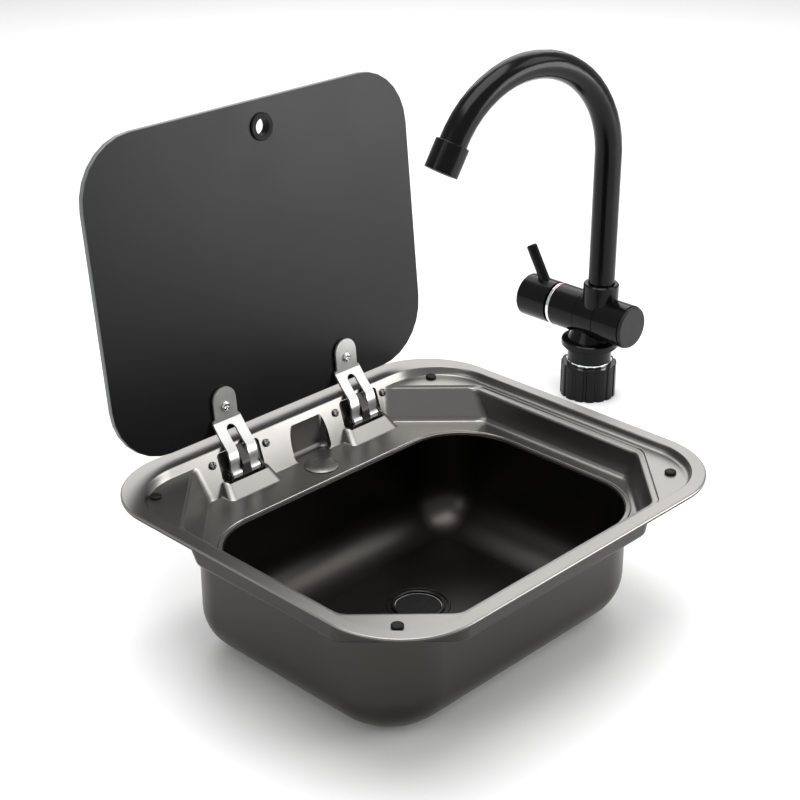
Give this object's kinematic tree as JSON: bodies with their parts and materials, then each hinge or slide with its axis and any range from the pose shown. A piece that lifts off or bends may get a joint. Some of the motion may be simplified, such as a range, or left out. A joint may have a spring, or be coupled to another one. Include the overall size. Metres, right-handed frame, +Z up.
{
  "type": "caravan sink with hinged glass lid and folding tap",
  "caption": "Caravan sink: steel pan with a deep bowl, a dark glass lid on two cranked hinges, rubber bumpers and a separate black swan-neck tap that folds and swivels.",
  "frame": {"origin": "on the surface that the bowl stands on, under the middle of the flange's outline", "axes": "+Z up, +X along the sink's front edge towards the tap, +Y towards the hinges"},
  "size_m": [0.7283, 0.4753, 0.4335],
  "materials": {
    "sink_steel": "satin gunmetal",
    "bright_steel": "fine brushed",
    "bright_chrome": "polished",
    "dark_glass": "dark tinted, glossy",
    "black_rubber": "matt",
    "tap_black": "satin black",
    "grey_plastic": "matt dark grey"
  },
  "bodies": {
    "sink_and_tap_base": {"sink_top_pan": "sink_steel", "sink_bowl": "sink_steel", "bumper_back_right": "black_rubber", "bumper_front_right": "black_rubber", "bumper_front_left": "black_rubber", "bumper_back_left": "black_rubber", "tap_hole_plug": "sink_steel", "tap_hole_washer": "black_rubber", "tap_hole_nut": "bright_steel", "hinge_base_left": "bright_steel", "hinge_pin_left": "bright_steel", "hinge_leaf_left": "bright_steel", "base_screw_left_inner": "bright_chrome", "base_nut_left_inner": "bright_steel", "base_screw_left_outer": "bright_chrome", "base_nut_left_outer": "bright_steel", "hinge_base_right": "bright_steel", "hinge_pin_right": "bright_steel", "hinge_leaf_right": "bright_steel", "base_screw_right_inner": "bright_chrome", "base_nut_right_inner": "bright_steel", "base_screw_right_outer": "bright_chrome", "base_nut_right_outer": "bright_steel", "tap_lock_nut": "tap_black", "tap_thrust_ring": "bright_chrome", "tap_shank": "tap_black", "tap_gasket": "black_rubber", "tap_body": "tap_black", "tap_indicator_ring": "bright_chrome", "tap_cartridge": "grey_plastic", "tap_fold_axle": "bright_steel"},
    "lid": {"glass_lid": "dark_glass", "finger_hole_grommet": "black_rubber", "lid_bracket_left": "bright_steel", "bracket_pad_left": "black_rubber", "lid_screw_left": "bright_chrome", "lid_screw_cap_left": "bright_steel", "lid_bracket_right": "bright_steel", "bracket_pad_right": "black_rubber", "lid_screw_right": "bright_chrome", "lid_screw_cap_right": "bright_steel"},
    "tap_fold": {"tap_fold_section": "tap_black", "tap_end_disc": "grey_plastic"},
    "tap_spout_arm": {"tap_spout": "tap_black", "tap_outlet_cap": "tap_black", "tap_aerator": "grey_plastic"},
    "tap_handle_turn": {"tap_handle_stem": "grey_plastic", "tap_handle_pin": "bright_steel"},
    "tap_handle": {"tap_handle_cap": "tap_black", "tap_lever": "tap_black"}
  },
  "joints": [
    {"name": "lid_hinge", "type": "hinge", "parent": "sink_and_tap_base", "child": "lid", "pos_m": [0.0122, 0.1527, 0.12], "axis": [1, 0, 0], "range_deg": [0, 95.97]},
    {"name": "tap_fold_joint", "type": "hinge", "parent": "sink_and_tap_base", "child": "tap_fold", "pos_m": [0.486, 0.1924, 0.096], "axis": [0, 1, 0], "range_deg": [0, 90]},
    {"name": "spout_swivel", "type": "hinge", "parent": "tap_fold", "child": "tap_spout_arm", "pos_m": [0.486, 0.1807, 0.12], "axis": [0, 0, 1], "range_deg": [-110, 110]},
    {"name": "handle_turn", "type": "hinge", "parent": "sink_and_tap_base", "child": "tap_handle_turn", "pos_m": [0.486, 0.24, 0.096], "axis": [0, 1, 0], "range_deg": [-45, 45]},
    {"name": "handle_tilt", "type": "hinge", "parent": "tap_handle_turn", "child": "tap_handle", "pos_m": [0.486, 0.2512, 0.096], "axis": [1, 0, 0], "range_deg": [0, 7]}
  ]
}
